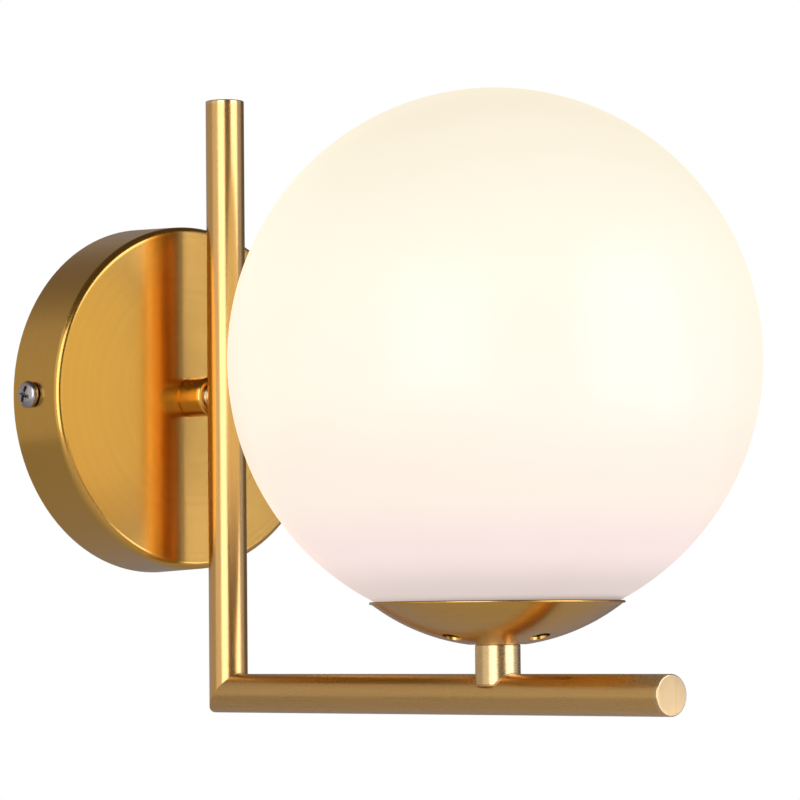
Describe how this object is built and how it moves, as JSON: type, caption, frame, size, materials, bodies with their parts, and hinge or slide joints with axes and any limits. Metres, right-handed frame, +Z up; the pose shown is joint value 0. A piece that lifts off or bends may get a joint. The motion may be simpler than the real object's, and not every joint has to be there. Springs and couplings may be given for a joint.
{
  "type": "globe wall sconce",
  "caption": "Wall light with a round canopy, an upright tube and a mitred arm in satin brass, and an opal glass globe that stands in a shallow cup on the arm.",
  "frame": {"origin": "centre of the two wall slots, on the wall plane, which is also the centre of the canopy", "axes": "+Y into the wall, -Y out into the room, +Z up, +X to the right of someone facing the wall"},
  "size_m": [0.1484, 0.2264, 0.1816],
  "materials": {
    "satin_brass": "steel with a satin brass plate under clear lacquer",
    "zinc_steel": "zinc plated",
    "screw_steel": "nickel plated",
    "terminal_brass": "nickel-free machined",
    "contact_metal": "nickel plated",
    "terminal_plastic": "natural, slightly translucent",
    "holder_ceramic": "fired white",
    "ring_aluminium": "turned",
    "silicone": "soft, translucent white",
    "opal_glass": "opal white, glossy outside, lit from inside",
    "bulb_diffuser": "frosted",
    "bulb_plastic": "moulded",
    "live_sleeve": "brown sleeve",
    "neutral_sleeve": "blue sleeve",
    "earth_sleeve": "green sleeve with a yellow stripe"
  },
  "bodies": {
    "frame": {"canopy": "satin_brass", "upright_tube": "satin_brass", "upright_end_cap": "satin_brass", "arm_tube": "satin_brass", "arm_end_cap": "satin_brass", "stem": "satin_brass", "cup": "satin_brass", "standoff": "satin_brass", "mounting_bracket": "zinc_steel", "holder_bracket": "zinc_steel", "feed_nipple": "zinc_steel", "stem_nipple": "zinc_steel", "feed_nipple_nut": "zinc_steel", "feed_nipple_washer": "zinc_steel", "cup_washer": "zinc_steel", "cup_nut": "zinc_steel", "holder_nut": "zinc_steel", "holder_nuts": "zinc_steel", "holder_screws": "screw_steel", "canopy_side_screws": "screw_steel", "terminal_block_screw": "screw_steel", "earth_screw": "screw_steel", "terminal_screws": "screw_steel", "terminal_clamps": "terminal_brass", "holder_contacts": "contact_metal", "earth_lug": "contact_metal", "terminal_block": "terminal_plastic", "lamp_holder": "holder_ceramic", "thread_spigot": "ring_aluminium", "live_wire": "live_sleeve", "neutral_wire": "neutral_sleeve", "earth_wire": "earth_sleeve"},
    "seal": {"globe_gasket": "silicone"},
    "shade": {"globe": "opal_glass", "glass_collar": "ring_aluminium", "collar_bead": "silicone"},
    "bulb": {"bulb_cover": "bulb_diffuser", "bulb_base": "bulb_plastic", "bulb_pins": "contact_metal"}
  },
  "joints": [
    {"name": "globe_lift", "type": "slide", "parent": "frame", "child": "seal", "axis": [0, 0, 1], "range_m": [0, 0.1]},
    {"name": "globe_turn", "type": "hinge", "parent": "seal", "child": "shade", "pos_m": [0, -0.1522, 0], "axis": [0, 0, 1], "range_deg": [0, 540]},
    {"name": "bulb_pull", "type": "slide", "parent": "frame", "child": "bulb", "axis": [0, 0, 1], "range_m": [0, 0.016]}
  ]
}
